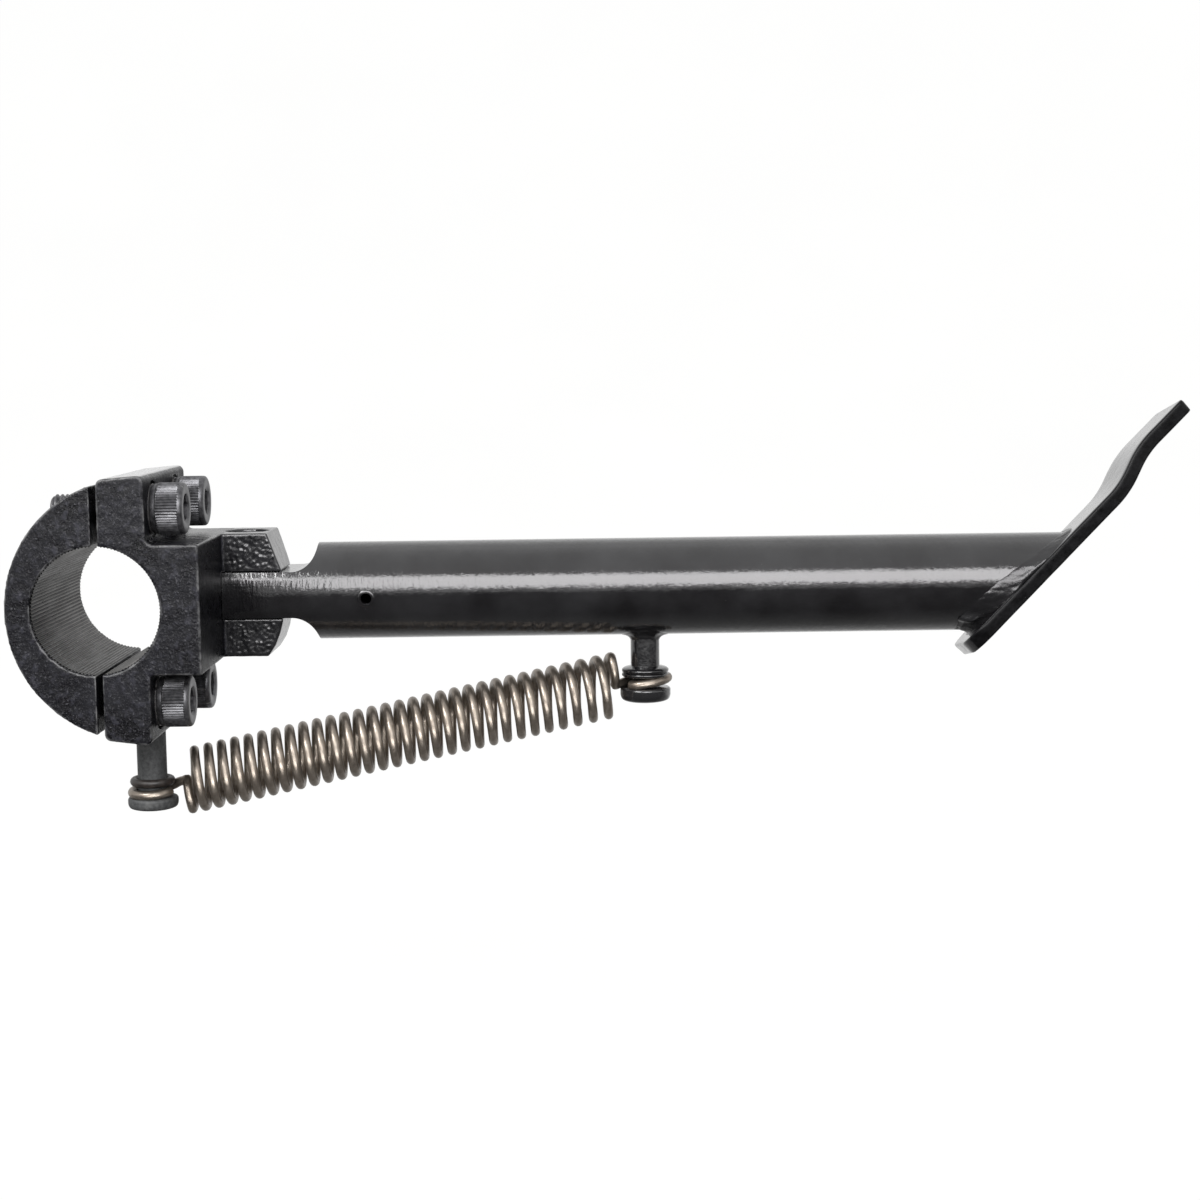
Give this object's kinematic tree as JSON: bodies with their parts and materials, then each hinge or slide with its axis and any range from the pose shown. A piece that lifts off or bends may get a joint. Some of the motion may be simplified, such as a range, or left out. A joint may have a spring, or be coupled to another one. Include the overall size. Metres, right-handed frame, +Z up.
{
  "type": "motorcycle kickstand",
  "caption": "Clamp-on side stand: split frame clamp with clevis pivot, round leg with bent foot plate, and an over-centre return spring between two headed posts.",
  "frame": {"origin": "middle of the clamp bore, on its axis, at half the clamp's width", "axes": "+X along the deployed leg towards the foot, +Y along the clamp bore (the frame tube's axis), the way the leg folds, +Z up along the leg's pivot axis"},
  "size_m": [0.299, 0.0623, 0.1034],
  "materials": {
    "cast_black": "satin black coated casting",
    "black_oxide": "black oxide, satin",
    "phosphate": "matt phosphate grey",
    "dark_ring": "dark, semi-matt",
    "bronze": "sintered bronze",
    "gloss_black": "gloss black",
    "spring_wire": "bright, warm grey drawn wire"
  },
  "bodies": {
    "clamp": {"clamp_body": "cast_black", "clamp_cap": "cast_black", "clamp_screws": "black_oxide", "lock_washers": "black_oxide", "clamp_spring_post": "phosphate", "clamp_post_ring": "dark_ring", "pivot_bolt": "black_oxide"},
    "leg": {"pivot_bush": "bronze", "leg_tongue": "gloss_black", "leg_tube": "gloss_black", "leg_butt_weld": "gloss_black", "leg_spring_post": "gloss_black", "leg_post_weld": "gloss_black", "foot_plate": "gloss_black", "foot_weld": "gloss_black"},
    "spring": {"return_spring": "spring_wire"}
  },
  "joints": [
    {"name": "leg_pivot", "type": "hinge", "parent": "clamp", "child": "leg", "pos_m": [0.031, 0.016, 0], "axis": [0, 0, 1], "range_deg": [0, 90]},
    {"name": "spring_swing", "type": "hinge", "parent": "clamp", "child": "spring", "pos_m": [0.0071, 0, -0.0496], "axis": [0, 0, 1], "range_deg": [0, 72], "deforming": ["return_spring"]}
  ],
  "couplings": [
    {"joint": "spring_swing", "follows": "leg_pivot", "ratio": 0.7955}
  ]
}
